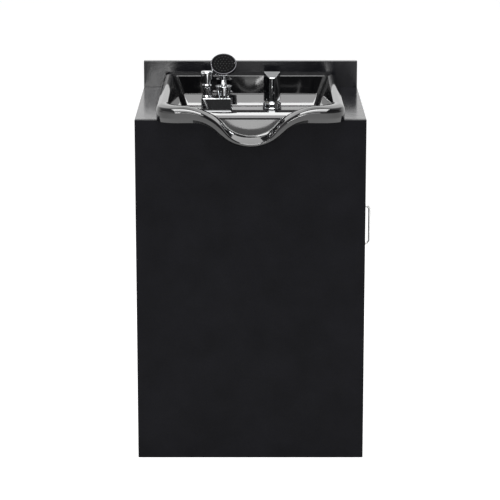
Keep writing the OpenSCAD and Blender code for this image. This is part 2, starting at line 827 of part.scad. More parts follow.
module inlet_tube(at) at_mixer() translate([at[0], at[1], 0]) difference() {
    union() {
        post(tube_r, -inlet_low, -deck_drop - tube_in);
        post(tube_r + tube_sleeve, -deck_drop - shank_l - 1, -deck_drop - tube_in);
    }
    post(tube_bore, -inlet_low - 1, 0);
}
module hot_inlet() color(copper) inlet_tube(hot_at);
module cold_inlet() color(copper) inlet_tube(cold_at);

// The tube that takes mixed water from the mixer round to the breaker's inlet
outlet_x = -breaker_x - mixer_x;      // breaker inlet seen from the mixer
outlet_y = breaker_y - mixer_y - mixed_at[1];
run_l = norm([outlet_x, outlet_y]);
run_a = atan2(outlet_y, outlet_x);
module tube_piece() difference() { circle(tube_r); circle(tube_bore); }
module elbow(turn) rotate([90, turn, 0]) rotate_extrude(angle = 90)
    translate([outlet_bend, 0]) tube_piece();
module mixed_outlet() color(copper) at_mixer() translate([mixed_at[0], mixed_at[1], 0])
    rotate(run_a) {
        ring(tube_r, tube_bore, -outlet_low + outlet_bend, -deck_drop - tube_in);
        ring(tube_r + tube_sleeve, tube_bore, -deck_drop - shank_l - 1, -deck_drop - tube_in);
        translate([outlet_bend, 0, -outlet_low + outlet_bend]) elbow(180);
        translate([outlet_bend, 0, -outlet_low]) rotate([0, 90, 0])
            linear_extrude(run_l - 2 * outlet_bend) tube_piece();
        translate([run_l - outlet_bend, 0, -outlet_low + outlet_bend]) elbow(90);
        translate([run_l, 0, 0])
            ring(tube_r, tube_bore, -outlet_low + outlet_bend, -shank_drop + socket_in);
    }

module block_plan(inset) {
    for (x = [block_x0 + block_r, block_x1 - block_r], y = [block_y0 + block_r,
        block_y1 - block_r]) translate([x, y]) circle(block_r - inset);
    translate([block_x0 + block_r, block_y0 + inset])
        square([block_x1 - block_x0 - 2 * block_r, block_y1 - block_y0 - 2 * inset]);
    translate([block_x0 + inset, block_y0 + block_r])
        square([block_x1 - block_x0 - 2 * inset, block_y1 - block_y0 - 2 * block_r]);
}

module breaker_gasket() color(rubber) on_counter() difference() {
    translate([0, 0, -deck_drop]) linear_extrude(pad_h) block_plan(1);
    translate([-breaker_x, breaker_y, 0]) post(inlet_r + 0.2, -deck_drop - 1, -deck_drop + 2);
    translate([-guide_x, breaker_y, 0]) post(guide_r + 0.2, -deck_drop - 1, -deck_drop + 2);
}

module breaker_body() color(chrome) on_counter() difference() {
    union() {
        translate([0, 0, block_low]) linear_extrude(block_h - block_edge) block_plan(0);
        translate([0, 0, block_top - block_edge]) linear_extrude(block_edge)
            block_plan(block_edge);
        translate([-breaker_x, breaker_y, 0]) post(inlet_r, -shank_drop, block_low);
        translate([-guide_x, breaker_y, 0]) post(guide_r, -shank_drop, block_low);
    }
    translate([-breaker_x, breaker_y, 0]) {
        post(tube_r + tube_fit, -shank_drop - 1, tube_stop);
        post(chamber_r, seat_low, block_top + 1);
        post(tube_bore, -shank_drop, seat_low + 1);
    }
    translate([-guide_x, breaker_y, 0]) post(guide_bore, -shank_drop - 1, block_top + 1);
}

module breaker_washers() color(rubber) {
    at_breaker() ring(inlet_r + nut_w, inlet_r + thread_play, nut_top, nut_top + washer_h);
    at_guide() ring(guide_r + washer_w, guide_r + thread_play, nut_top, nut_top + washer_h);
}
module breaker_nuts() color(brass) {
    at_breaker() hex_nut(inlet_r + nut_w, inlet_r + thread_play, nut_top - nut_h, nut_top);
    at_guide() hex_nut(guide_r + nut_w, guide_r + thread_play, nut_top - nut_h, nut_top);
}

// The float chamber: a waisted column with a collar, closed by a seat at its top
module breaker_bonnet() color(chrome) at_breaker() difference() {
    rotate_extrude() polygon(concat([[0, block_top]], bonnet_line, [[0, bonnet_top]]));
    post(chamber_r, block_top - 1, bonnet_top - bonnet_roof);
    post(vent_r, bonnet_top - bonnet_roof - 1, bonnet_top + 1);
}

module breaker_float() color(nylon) at_breaker() {
    post(float_r, float_low, float_low + float_disc);
    post(float_stem_r, float_low + float_disc, float_top - float_cap);
    post(float_r, float_top - float_cap, float_top);
}

// The cap stands on the bonnet's seat by a web, and its skirt hides the air gap
module breaker_cap() color(chrome) at_breaker() difference() {
    rotate_extrude() polygon(concat([[0, cap_low_z], [cap_r - 1, cap_low_z],
        [cap_r, cap_low_z + 1.5]],
        arc(cap_r - cap_round, cap_top - cap_round, cap_round, 0, 90), [[0, cap_top]]));
    post(cap_r - cap_skin, cap_low_z - 1, bonnet_top);
    post(vent_r, bonnet_top - 1, bonnet_top + cap_web + 1);
    post(cap_r - cap_round, bonnet_top + cap_web, cap_top - cap_hollow);
}

// The nut on the spray guide: it flares upwards and has six scallops
module hose_guide() color(chrome) at_guide() difference() {
    union() {
        post(guide_foot_r, block_top, block_top + guide_foot_h);
        translate([0, 0, block_top + guide_foot_h])
            cylinder(h = guide_top - block_top - guide_foot_h, r1 = guide_foot_r,
                r2 = guide_mouth_r);
    }
    post(guide_bore, block_top - 1, guide_top - guide_cone_h);
    translate([0, 0, guide_top - guide_cone_h])
        cylinder(h = guide_cone_h + 0.1, r1 = guide_bore, r2 = guide_cone_r);
    for (a = [0 : 60 : 300]) rotate(a + 30) translate([scallop_out, 0, 0])
        post(scallop_r, block_top + scallop_up, guide_top + 20);
}

module guide_bush() color(rubber) at_guide() ring(guide_bore - bush_play, tail_or + 0.1,
    -shank_drop + bush_up, guide_top - guide_cone_h);

module spray_tail() color(chrome) at_guide() difference() {
    union() {
        post(tail_or, -tail_low + barb_l, guide_top - tail_drop);
        post(tail_or - barb_in, -tail_low, -tail_low + barb_l);
    }
    post(spigot_r + pin_play, guide_top - spigot_l - spigot_play, guide_top);
    post(tail_water_r, -tail_low - 1, guide_top);
}

// The neck stops where the tilted head begins
module spray_neck() color(chrome) at_guide() difference() {
    union() {
        post(spigot_r, guide_top - spigot_l, guide_top - tail_drop + 1);
        post(neck_r_low, guide_top - tail_drop + 0.1, guide_top + neck_cone_z);
        translate([0, 0, guide_top + neck_cone_z])
            cylinder(h = neck_cone_h, r1 = neck_r_low, r2 = neck_r_top);
        post(neck_r_top, guide_top + neck_cone_z + neck_cone_h, head_z - 2);
    }
    post(neck_bore, guide_top - spigot_l - 1, head_z);
    translate([0, 0, head_z]) rotate([head_tilt, 0, 0])
        block([-30, -30, head_back], [30, 30, 40]);
}

module spray_body() color(chrome) at_head() difference() {
    rotate_extrude() polygon(concat([[0, head_back]], head_line, [[0, head_t - plate_lip]]));
    post(head_r - seal_in, neck_bore, head_t);
    post(head_r - head_wall, head_cup, head_t);
    post(neck_bore, head_back - 1, neck_bore + 1);
}

module spray_seal() color(rubber) at_head() ring(head_r - head_wall - plate_fit,
    head_r - seal_in, head_cup, head_cup + seal_h);

module spray_ring() color(chrome) at_head() difference() {
    union() {
        post(head_r, head_t - plate_lip, head_t - 1);
        translate([0, 0, head_t - 1]) cylinder(h = 1, r1 = head_r, r2 = head_r - 1);
    }
    post(head_r - head_wall + 0.5, head_t - plate_lip - 1, head_t + 1);
}

// The spray plate: rows of small jets in rings
module spray_face() color(rubber) at_head() difference() {
    union() {
        post(head_r - head_wall - plate_fit, head_cup + seal_h, head_t - plate_lip);
        post(head_r - head_wall + 0.5 - plate_fit, head_t - plate_lip, head_t - plate_set);
    }
    for (k = [1 : jet_rings], i = [0 : 6 * k - 1]) rotate(i * 60 / k)
        translate([k * jet_pitch, 0, 0]) post(jet_r, head_cup, head_t + 1);
}

front_panel();
left_panel();
right_stile();
back_panel();
bottom_panel();
countertop();
backsplash();
left_rail();
right_rail();
rear_rail();
rail_screws();
counter_screws();
corner_brackets();
pivot_bushes();
magnet_catch();
side_door();
door_handle();
handle_screws();
pivot_pins();
strike_plate();
bowl();
drain_flange();
drain_gasket();
drain_nut();
tailpiece();
slip_nut();
hair_strainer();
mixer_base();
mixer_gasket();
mixer_washer();
mixer_nut();
mixer_cartridge();
cartridge_nut();
cartridge_cap();
stem_pin();
mixer_stem();
mixer_lever();
lever_screw();
hot_inlet();
cold_inlet();
mixed_outlet();
breaker_gasket();
breaker_body();
breaker_washers();
breaker_nuts();
breaker_bonnet();
breaker_float();
breaker_cap();
hose_guide();
guide_bush();
spray_tail();
spray_neck();
spray_body();
spray_seal();
spray_ring();
spray_face();
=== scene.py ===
"""Looks of the salon wash basin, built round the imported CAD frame.

Everything is in metres in the row frame: +X is the door side, -Y the user's side, +Z up.
Places on the counter are given from its front edge and its top, and come from the frame.
"""
import json
import math

import bmesh
import bpy
import numpy as np
from mathutils import Matrix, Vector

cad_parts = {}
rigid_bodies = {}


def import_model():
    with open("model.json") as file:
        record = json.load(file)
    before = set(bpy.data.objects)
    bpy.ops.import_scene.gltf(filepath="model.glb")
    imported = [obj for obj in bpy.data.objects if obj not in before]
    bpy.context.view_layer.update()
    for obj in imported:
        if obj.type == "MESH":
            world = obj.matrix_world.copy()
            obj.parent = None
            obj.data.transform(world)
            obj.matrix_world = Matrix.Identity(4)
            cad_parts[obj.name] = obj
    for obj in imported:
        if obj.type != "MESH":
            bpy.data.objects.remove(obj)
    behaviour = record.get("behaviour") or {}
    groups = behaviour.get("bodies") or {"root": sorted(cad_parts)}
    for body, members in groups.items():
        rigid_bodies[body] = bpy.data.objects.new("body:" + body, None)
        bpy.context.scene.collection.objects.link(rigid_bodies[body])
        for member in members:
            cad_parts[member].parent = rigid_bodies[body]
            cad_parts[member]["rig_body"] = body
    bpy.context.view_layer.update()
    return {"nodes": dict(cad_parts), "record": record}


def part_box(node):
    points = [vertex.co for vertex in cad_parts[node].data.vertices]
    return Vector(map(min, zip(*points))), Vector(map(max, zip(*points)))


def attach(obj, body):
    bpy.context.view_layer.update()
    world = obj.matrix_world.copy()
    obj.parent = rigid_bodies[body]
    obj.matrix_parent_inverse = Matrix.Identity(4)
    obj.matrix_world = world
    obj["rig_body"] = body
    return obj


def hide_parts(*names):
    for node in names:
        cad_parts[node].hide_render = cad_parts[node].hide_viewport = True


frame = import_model()

MM = 0.001
NODES = frame["nodes"]
FRONT_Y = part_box("front_panel")[0].y
COUNTER_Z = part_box("countertop")[1].z
FLOOR_Z = 0.0

# Brightness of the studio's parts
REAR_WALL = 1.15
FRONT_LEFT = 0.9
FRONT_RIGHT = 0.15
CEILING = 0.35


def at(x, y, z):
    """A place in metres, from mm right of the middle, behind the front edge and above the
    counter."""
    return x * MM, FRONT_Y + y * MM, COUNTER_Z + z * MM


def linked(name, data):
    """A new object in the scene that shows the data."""
    obj = bpy.data.objects.new(name, data)
    bpy.context.scene.collection.objects.link(obj)
    return obj


# ---------------------------------------------------------------- camera and stage

def camera():
    """A long lens a little above the basin, looking down its middle line."""
    data = bpy.data.cameras.new("camera")
    cam = linked("camera", data)
    data.lens = 160.1
    data.clip_end = 60
    cam.location = (-0.00126, FRONT_Y - 5.1, COUNTER_Z + 0.8963)
    cam.rotation_euler = (math.radians(90 - 13.31), 0, 0)
    bpy.context.scene.camera = cam


def light_panel(name, centre, size, radiance, upright=False):
    """A light panel that shines down, or to the back if it stands upright."""
    data = bpy.data.lights.new(name, "AREA")
    data.shape = "RECTANGLE"
    data.size, data.size_y = size
    data.energy = radiance * math.pi * size[0] * size[1]
    lamp = linked(name, data)
    lamp.location = (centre[0], FRONT_Y + centre[1], COUNTER_Z + centre[2])
    if upright:
        lamp.rotation_euler = (math.radians(90), 0, 0)


def lights():
    """Two softboxes overhead, and two windows far in front whose light the bowl's back wall
    and the left of the counter return."""
    light_panel("front_softbox", (0, -1.925, 2), (1.8, 2.35), 4.2)
    light_panel("top_softbox", (0, -0.025, 2), (1.5, 1.45), 12)
    light_panel("window", (0, -8, 0.85), (0.8, 1.3), 5, upright=True)
    light_panel("side_window", (-1.085, -8, 1.45), (1.23, 1.1), 26, upright=True)


def world():
    """A studio: a white wall behind, a dimmer room in front that is lighter on the left,
    and a dark ceiling."""
    w = bpy.data.worlds.new("studio")
    bpy.context.scene.world = w
    w.use_nodes = True
    tree = w.node_tree
    back = tree.nodes["Background"]
    back.inputs["Color"].default_value = (1, 1, 1, 1)
    axes = tree.nodes.new("ShaderNodeSeparateXYZ")
    tree.links.new(tree.nodes.new("ShaderNodeTexCoord").outputs["Generated"],
                   axes.inputs["Vector"])

    def ramp(value, source, low, high):
        node = tree.nodes.new("ShaderNodeMapRange")
        node.interpolation_type = "SMOOTHSTEP"
        node.inputs["From Min"].default_value, node.inputs["From Max"].default_value = source
        node.inputs["To Min"].default_value = low
        node.inputs["To Max"].default_value = high
        tree.links.new(value, node.inputs["Value"])
        return node.outputs["Result"]

    def maths(kind, a, b):
        node = tree.nodes.new("ShaderNodeMath")
        node.operation = kind
        tree.links.new(a, node.inputs[0])
        tree.links.new(b, node.inputs[1])
        return node.outputs["Value"]

    left = ramp(axes.outputs["X"], (-0.8, 0.3), FRONT_LEFT, FRONT_RIGHT)
    rear = ramp(axes.outputs["Y"], (0.0, 0.6), 0.0, REAR_WALL)
    ceiling = ramp(axes.outputs["Z"], (0.36, 0.58), 1.0, CEILING)
    front = ramp(axes.outputs["Y"], (-0.2, 0.4), 1.0, 0.0)
    level = maths("ADD", maths("MULTIPLY", left, front), rear)
    tree.links.new(maths("MULTIPLY", level, ceiling), back.inputs["Strength"])


def floor():
    mesh = bpy.data.meshes.new("floor")
    half = 30.0
    mesh.from_pydata([(-half, -half, FLOOR_Z), (half, -half, FLOOR_Z),
                      (half, half, FLOOR_Z), (-half, half, FLOOR_Z)], [], [(0, 1, 2, 3)])
    obj = linked("floor", mesh)
    mesh.materials.append(plain_floor())


# ---------------------------------------------------------------- materials

class Shader:
    """A Principled material whose colour, roughness and bump come from node textures."""

    def __init__(self, name):
        self.mat = bpy.data.materials.new(name)
        self.mat.use_nodes = True
        self.tree = self.mat.node_tree
        self.bsdf = self.tree.nodes["Principled BSDF"]
        self.coords = self.tree.nodes.new("ShaderNodeTexCoord").outputs["Object"]

    def set(self, **values):
        for key, value in values.items():
            socket = self.bsdf.inputs[key.replace("_", " ")]
            socket.default_value = (*value, 1) if isinstance(value, tuple) else value
        return self

    def node(self, kind, **inputs):
        node = self.tree.nodes.new(kind)
        for key, value in inputs.items():
            node.inputs[key.replace("_", " ")].default_value = value
        return node

    def link(self, a, b):
        self.tree.links.new(a, b)

    def stretched(self, scale):
        """Object coordinates scaled by a different amount along each axis."""
        mapping = self.node("ShaderNodeMapping")
        mapping.inputs["Scale"].default_value = scale
        self.link(self.coords, mapping.inputs["Vector"])
        return mapping.outputs["Vector"]

    def noise(self, scale, detail=3.0, rough=0.5, vector=None):
        tex = self.node("ShaderNodeTexNoise", Scale=scale, Detail=detail, Roughness=rough)
        self.link(vector or self.coords, tex.inputs["Vector"])
        return tex.outputs["Fac"]

    def ranged(self, value, low, high, source=(0.3, 0.7)):
        node = self.node("ShaderNodeMapRange", To_Min=low, To_Max=high,
                         From_Min=source[0], From_Max=source[1])
        self.link(value, node.inputs["Value"])
        return node.outputs["Result"]

    def colour(self, value, low, high, source=(0.3, 0.7)):
        """Base colour that runs from low to high as value rises."""
        ramp = self.node("ShaderNodeValToRGB")
        ramp.color_ramp.elements[0].position, ramp.color_ramp.elements[1].position = source
        ramp.color_ramp.elements[0].color = (*low, 1)
        ramp.color_ramp.elements[1].color = (*high, 1)
        self.link(value, ramp.inputs["Fac"])
        self.link(ramp.outputs["Color"], self.bsdf.inputs["Base Color"])
        return self

    def roughness(self, value, low, high):
        self.link(self.ranged(value, low, high), self.bsdf.inputs["Roughness"])
        return self

    def bump(self, value, height, strength=1.0):
        node = self.node("ShaderNodeBump", Strength=strength, Distance=height)
        self.link(value, node.inputs["Height"])
        self.link(node.outputs["Normal"], self.bsdf.inputs["Normal"])
        return self


def plain_floor():
    s = Shader("pale_floor")
    s.colour(s.noise(3.0), (0.44, 0.44, 0.44), (0.48, 0.48, 0.48))
    s.set(Roughness=0.9, Specular_IOR_Level=0.0)
    return s.set(Emission_Color=(1.0, 1.0, 1.0), Emission_Strength=0.86).mat


def laminate(name, specular, rough):
    """Black laminate: a fine pebbled skin with a faint cloudiness."""
    s = Shader(name)
    s.colour(s.noise(14.0), (0.0034, 0.0034, 0.0045), (0.0052, 0.0052, 0.0068))
    s.roughness(s.noise(60.0, 4.0), *rough)
    s.bump(s.noise(1600.0, 2.0), 0.00002, 0.35)
    return s.set(Specular_IOR_Level=specular).mat


def gloss_abs():
    """Deep black thermoformed plastic with a very slight waviness."""
    s = Shader("gloss_black_abs")
    s.colour(s.noise(9.0), (0.0022, 0.0022, 0.0026), (0.0038, 0.0038, 0.0043))
    s.roughness(s.noise(30.0, 5.0), 0.035, 0.075)
    s.bump(s.noise(22.0, 1.0), 0.0004, 0.10)
    return s.set(IOR=1.72).mat


def chrome():
    s = Shader("chrome")
    s.colour(s.noise(40.0), (0.74, 0.75, 0.77), (0.82, 0.83, 0.84))
    s.roughness(s.noise(120.0, 5.0), 0.025, 0.065)
    return s.set(Metallic=1.0).mat


def brushed(name, low, high, rough, scale):
    """Metal with fine lines along the direction of the smallest scale."""
    s = Shader(name)
    lines = s.noise(1.0, 6.0, 0.7, s.stretched(scale))
    s.colour(lines, low, high)
    s.roughness(lines, *rough)
    s.bump(lines, 0.00002, 0.25)
    return s.set(Metallic=1.0).mat


def mottled(name, low, high, rough, scale, height, metallic=0.0, specular=0.5):
    """Moulded or cast surface: soft colour patches over a fine grain."""
    s = Shader(name)
    s.colour(s.noise(scale / 12), low, high)
    s.roughness(s.noise(scale / 4, 4.0), *rough)
    s.bump(s.noise(scale, 3.0), height, 0.4)
    return s.set(Metallic=metallic, Specular_IOR_Level=specular).mat


def particle_board():
    s = Shader("raw_board")
    chips = s.node("ShaderNodeTexVoronoi", Scale=420.0)
    s.link(s.stretched((1.0, 0.35, 1.0)), chips.inputs["Vector"])
    s.colour(chips.outputs["Color"], (0.30, 0.20, 0.11), (0.62, 0.48, 0.31), (0.2, 0.8))
    s.bump(chips.outputs["Distance"], 0.0003, 0.5)
    return s.set(Roughness=0.85).mat


MAT = {
    "black_laminate": laminate("black_laminate", 0.06, (0.24, 0.34)),
    "gloss_black_abs": gloss_abs(),
    "chrome": chrome(),
    "satin_nickel": brushed("satin_nickel", (0.62, 0.61, 0.59), (0.78, 0.77, 0.75),
                            (0.22, 0.34), (900, 900, 12)),
    "zinc_steel": brushed("zinc_steel", (0.50, 0.52, 0.54), (0.66, 0.67, 0.69),
                          (0.28, 0.45), (300, 300, 300)),
    "brass": mottled("brass", (0.56, 0.40, 0.16), (0.70, 0.52, 0.24), (0.22, 0.36),
                     900, 0.00003, metallic=1.0),
    "copper": mottled("copper", (0.60, 0.27, 0.16), (0.76, 0.40, 0.26), (0.20, 0.36),
                      500, 0.00002, metallic=1.0),
    "rubber": mottled("rubber", (0.010, 0.010, 0.010), (0.020, 0.020, 0.020), (0.62, 0.80),
                      1800, 0.00004),
    "black_plastic": mottled("black_plastic", (0.012, 0.012, 0.013), (0.020, 0.020, 0.021),
                             (0.42, 0.55), 2400, 0.00003),
    "white_nylon": mottled("white_nylon", (0.70, 0.69, 0.64), (0.80, 0.79, 0.74),
                           (0.38, 0.50), 1500, 0.00003),
    "raw_board": particle_board(),
}
COUNTER = laminate("counter_laminate", 0.35, (0.13, 0.19))
HANDLE = brushed("handle_nickel", (0.84, 0.84, 0.83), (0.92, 0.92, 0.91), (0.50, 0.62),
                 (900, 900, 12))
SPRAY_PLATE = mottled("spray_plate", (0.0008, 0.0008, 0.001), (0.0016, 0.0016, 0.0019),
                      (0.40, 0.50), 1400, 0.00003, specular=0.015)
SMOKED_CHROME = mottled("smoked_chrome", (0.022, 0.022, 0.024), (0.034, 0.034, 0.036),
                        (0.10, 0.16), 300, 0.00001, metallic=1.0)


# ---------------------------------------------------------------- mesh helpers

def fillet(points, radii, steps=6):
    """The line through 3-D points with its inner corners rounded: steps + 1 points for
    each corner that has a radius, one point for each that hasn't."""
    pts = [np.asarray(p, float) for p in points]
    out = [pts[0]]
    for i in range(1, len(pts) - 1):
        a, b, c = pts[i - 1], pts[i], pts[i + 1]
        if not radii[i]:
            out.append(b)
            continue
        u, v = a - b, c - b
        lu, lv = np.linalg.norm(u), np.linalg.norm(v)
        u, v = u / lu, v / lv
        half = math.acos(max(-1.0, min(1.0, float(u @ v)))) / 2
        cut = max(min(radii[i] / math.tan(half), 0.47 * lu, 0.47 * lv),
                  0.08 * min(lu, lv))
        weight = math.sin(half)
        for k in range(steps + 1):
            t = k / steps
            w = np.array([(1 - t) ** 2, 2 * t * (1 - t) * weight, t * t])
            corner = w[0] * (b + u * cut) + w[1] * b + w[2] * (b + v * cut)
            out.append(corner / w.sum())
    out.append(pts[-1])
    return out


def make(name, verts, faces, material, body, replaces=()):
    """A mesh piece in place, riding on its body and standing for its CAD nodes."""
    mesh = bpy.data.meshes.new(name)
    mesh.from_pydata([tuple(v) for v in verts], [], faces)
    mesh.validate()
    obj = linked(name, mesh)
    tidy(obj)
    finish_piece(obj, material, body, replaces)


def tidy(obj):
    """Welds doubled points and points all faces outwards."""
    bm = bmesh.new()
    bm.from_mesh(obj.data)
    bmesh.ops.remove_doubles(bm, verts=bm.verts, dist=1e-6)
    bmesh.ops.recalc_face_normals(bm, faces=bm.faces)
    bm.to_mesh(obj.data)
    bm.free()


def finish_piece(obj, material, body, replaces=(), smooth=35):
    """Gives a mesh its material, its shading and its place in the frame."""
    obj.data.materials.clear()
    obj.data.materials.append(material)
    for poly in obj.data.polygons:
        poly.use_smooth = True
    weigh_normals(obj.data, smooth)
    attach(obj, body)
    if replaces:
        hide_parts(*replaces)


def weigh_normals(mesh, limit):
    """Shading normals weighted by face area, so that a large face stays flat beside a
    small round. Faces that meet at more than the limit (degrees) keep a hard edge."""
    vert = np.empty(len(mesh.loops), int)
    mesh.loops.foreach_get("vertex_index", vert)
    normal = np.empty(3 * len(mesh.polygons))
    area, corners = np.empty(len(mesh.polygons)), np.empty(len(mesh.polygons), int)
    mesh.polygons.foreach_get("normal", normal)
    mesh.polygons.foreach_get("area", area)
    mesh.polygons.foreach_get("loop_total", corners)
    face = np.repeat(np.arange(len(corners)), corners)
    own = normal.reshape(-1, 3)[face]
    pull = own * area[face][:, None]
    total = pull.copy()
    order = np.argsort(vert, kind="stable")
    for step in range(1, 13):           # each pair of corners that share a point
        shared = vert[order][step:] == vert[order][:-step]
        i, j = order[:-step][shared], order[step:][shared]
        close = (own[i] * own[j]).sum(axis=1) > math.cos(math.radians(limit))
        i, j = i[close], j[close]
        total[i] += pull[j]
        total[j] += pull[i]
    length = np.maximum(np.linalg.norm(total, axis=1), 1e-20)
    mesh.normals_split_custom_set((total / length[:, None]).tolist())


def thickened(verts, faces, wall):
    """A sheet made into a shell: a second skin behind it, joined along the open edges."""
    points = np.array(verts)
    normals = np.zeros_like(points)
    for face in faces:
        corners = points[list(face)]
        span = np.cross(corners[2] - corners[0], corners[3] - corners[1])
        normals[list(face)] += span
    normals /= np.linalg.norm(normals, axis=1)[:, None]
    n = len(points)
    behind = points + normals * wall
    once = {}
    for face in faces:
        for a, b in zip(face, face[1:] + face[:1]):
            if (b, a) in once:
                del once[(b, a)]
            else:
                once[(a, b)] = True
    back = [tuple(n + i for i in reversed(face)) for face in faces]
    edge = [(b, a, n + a, n + b) for a, b in once]
    return [tuple(p) for p in points] + [tuple(p) for p in behind], faces + back + edge


def body_of(node):
    return NODES[node]["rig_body"]


def slot_of(node):
    for part in frame["record"]["subparts"]:
        if part["node"] == node:
            return part["material_slot"]
    return None


def refined(node, bevel, material=None):
    """The CAD node's own shape with its hard edges broken by a small round."""
    source = NODES[node].data
    verts = [v.co[:] for v in source.vertices]
    faces = [tuple(p.vertices) for p in source.polygons]
    bm = bmesh.new()
    points = [bm.verts.new(v) for v in verts]
    for face in faces:
        try:
            bm.faces.new([points[i] for i in face])
        except ValueError:
            pass
    bmesh.ops.remove_doubles(bm, verts=bm.verts, dist=2e-6)
    bmesh.ops.recalc_face_normals(bm, faces=bm.faces)
    bmesh.ops.dissolve_limit(bm, angle_limit=math.radians(0.5), verts=bm.verts,
                             edges=bm.edges)
    sharp = [e for e in bm.edges
             if len(e.link_faces) == 2 and e.calc_face_angle(0.0) > math.radians(40)]
    bmesh.ops.bevel(bm, geom=sharp, offset=bevel, segments=3, profile=0.5,
                    affect="EDGES", clamp_overlap=True)
    mesh = bpy.data.meshes.new(node + "_finish")
    bm.to_mesh(mesh)
    bm.free()
    obj = linked(node + "_finish", mesh)
    obj.matrix_world = NODES[node].matrix_world.copy()
    slot = slot_of(node)
    finish_piece(obj, material or MAT[slot], body_of(node), (node,))


# Places of the fittings, in mm from the counter's front edge and top
MIXER = (54, 406, 0)
BREAKER = (-109, 400, 0)
GUIDE = (-67, 400, 0)
HEAD = (-67, 400, 60)
TILT = 44                 # degrees that the spray head leans back
CHROME = "chrome"


# ---------------------------------------------------------------- bowl

RIM_H = 36
INNER_FRONT = 5
NECK = dict(r=70.6, zc=22, rs=125)
APRON = dict(r=111, zc=54, rs=83)
DRAIN_Y = 208
DRAIN_R = 22.5
FLOOR_LOW = -177          # the basin's floor
DECK = -41.5              # the deck that carries the fittings
WALL = 4.0
REST_RISE = 5.0           # of the neck rest over the rim's line
RIDGE = 0.4               # the neck rest's highest place, as a share of the rim's width
CROWN = 3.5               # of the rim's top elsewhere
TUCK = 12.0               # of the front face under the rim


def dip(x, r, zc, rs, top):
    """Height of a line that dips in a circle and rises over round shoulders."""
    ax = abs(x)
    reach = math.sqrt((r + rs) ** 2 - (zc - top + rs) ** 2)
    meet = reach * r / (r + rs)
    if ax <= meet:
        return zc - math.sqrt(r * r - x * x)
    if ax < reach:
        return top - rs + math.sqrt(rs * rs - (reach - ax) ** 2)
    return top


def crest(x):
    return dip(x, NECK["r"], NECK["zc"], NECK["rs"], RIM_H)


def apron(x):
    return dip(x, APRON["r"], APRON["zc"], APRON["rs"], 0)


# Points round the bowl on each kind of stretch
N_FRONT, N_CORNER, N_SIDE, N_BACK = 96, 14, 22, 22


def outline(wf, wb, y0, y1, rf, rb):
    """A closed plan outline, front side first from left to right, then round."""
    pts = []
    for i in range(N_FRONT):
        pts.append((-(wf - rf) + 2 * (wf - rf) * i / N_FRONT, y0))

    def corner(cx, cy, r, start):
        for i in range(N_CORNER):
            a = math.radians(start + 90 * i / N_CORNER)
            pts.append((cx + r * math.cos(a), cy + r * math.sin(a)))

    def straight(a, b, n):
        for i in range(n):
            t = i / n
            pts.append((a[0] + (b[0] - a[0]) * t, a[1] + (b[1] - a[1]) * t))

    corner(wf - rf, y0 + rf, rf, -90)
    straight((wf, y0 + rf), (wb, y1 - rb), N_SIDE)
    corner(wb - rb, y1 - rb, rb, 0)
    straight((wb - rb, y1), (-(wb - rb), y1), N_BACK)
    corner(-(wb - rb), y1 - rb, rb, 90)
    straight((-wb, y1 - rb), (-wf, y0 + rf), N_SIDE)
    corner(-(wf - rf), y0 + rf, rf, 180)
    return np.array(pts)


def inner_sections():
    """Level sections of the space inside, from the floor up: height and outline."""
    rows = [
        (-174, 78, 166, 280, 58, 54),
        (-166, 112, 152, 318, 56, 52),
        (-150, 128, 142, 350.2, 55, 50),
        (-100, 144, 105, 357.4, 51, 40),
        (-62.8, 157, 78, 362.8, 47, 30),
        (-56.4, 159.5, 73.5, 364.8, 46, 28),
        (-50.7, 161.7, 69.5, 368.5, 46, 26),
        (-46.1, 163.3, 66, 373.5, 46, 24),
        (-43, 164.3, 64, 379.5, 46, 22),
        (-41.8, 164.8, 63, 383.9, 46, 20),
        (-41.5, 165, 62.6, 388.4, 46, 18),
        (-41.4, 165.5, 62.4, 438, 46, 11),
        (-38, 167, 60, 443.5, 46, 11),
        (-16, 175.5, 43.8, 456.5, 51, 11),
        (-11, 177, 40, 458, 52, 11),
        (RIM_H, 194, INNER_FRONT, 458, 60, 12),
    ]
    return [(z, outline(w, w, y0, y1, rf, rb)) for z, w, y0, y1, rf, rb in rows]


def front_share(j):
    """1 on the front stretch, falling to 0 round its two corners."""
    n = N_FRONT + 4 * N_CORNER + 2 * N_SIDE + N_BACK
    if j < N_FRONT:
        return 1.0
    after = (j - N_FRONT) / N_CORNER
    before = (n - j) / N_CORNER
    return max(0.0, 1 - min(after, before))


def meeting_height(wall):
    """Where a column of the front wall meets the rim's dipping top line."""
    low, high = -70.0, float(RIM_H)
    for _ in range(40):
        mid = (low + high) / 2
        if mid < crest(wall(mid)[0]):
            low = mid
        else:
            high = mid
    return high


def squeezed(heights, top_z, share):
    """The heights pressed together on the front, so that they stay below the top line."""
    base = heights[1]
    scale = (min(heights[-1], top_z - 9) - base) / (heights[-1] - base)
    pressed = [heights[0]] + [base + (z - base) * scale for z in heights[1:]]
    return [z * (1 - share) + q * share for z, q in zip(heights, pressed)]


def rim_point(inner, outer, t, share):
    """A point across the rim's top, from its inner edge (t = 0) to its outer one (1). The
    top is crowned, and the neck rest rises towards a soft ridge."""
    x, y = inner[0] + (outer[0] - inner[0]) * t, inner[1] + (outer[1] - inner[1]) * t
    z = crest(x) * share + RIM_H * (1 - share) if share > 0 else RIM_H
    rest = share * max(0.0, 1 - (x / 95) ** 2)
    if t < RIDGE:
        fall = 0.9 * ((t - RIDGE) / RIDGE) ** 2
    else:
        fall = ((t - RIDGE) / (1 - RIDGE)) ** 2
    return x, y, z + REST_RISE * rest * (1 - fall) - CROWN * (2 * t - 1) ** 2 * (1 - rest)


